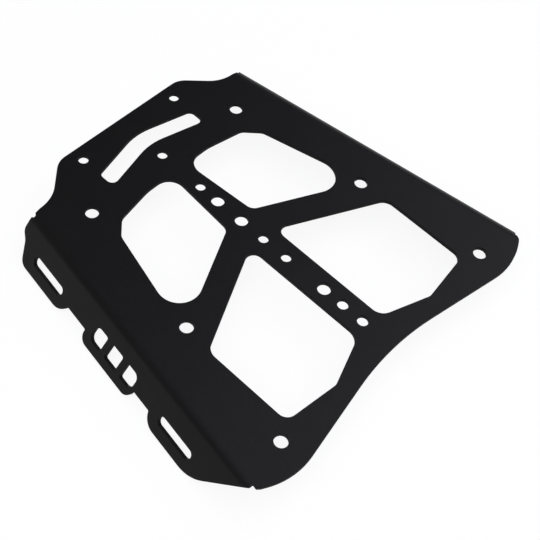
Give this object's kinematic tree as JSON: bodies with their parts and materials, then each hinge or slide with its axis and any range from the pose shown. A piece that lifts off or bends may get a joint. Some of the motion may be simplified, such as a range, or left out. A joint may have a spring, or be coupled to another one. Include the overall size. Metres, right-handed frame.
{
  "type": "motorcycle side bag rack",
  "caption": "Folded sheet-metal backing rack for a motorcycle side bag: tapered frame plate with bolt holes and windows, and slanted side flanges with strap slots.",
  "frame": {"origin": "under the middle of the rack, on the plane that the tips of the flange tabs stand on", "axes": "+X along the spine to the wide end, +Y across the rack from flange to flange, +Z out of the plate's flat outer face"},
  "size_m": [0.259, 0.2836, 0.0287],
  "materials": {
    "black_coat": "satin black powder coat"
  },
  "bodies": {
    "root": {"rack_plate": "black_coat"}
  },
  "joints": []
}
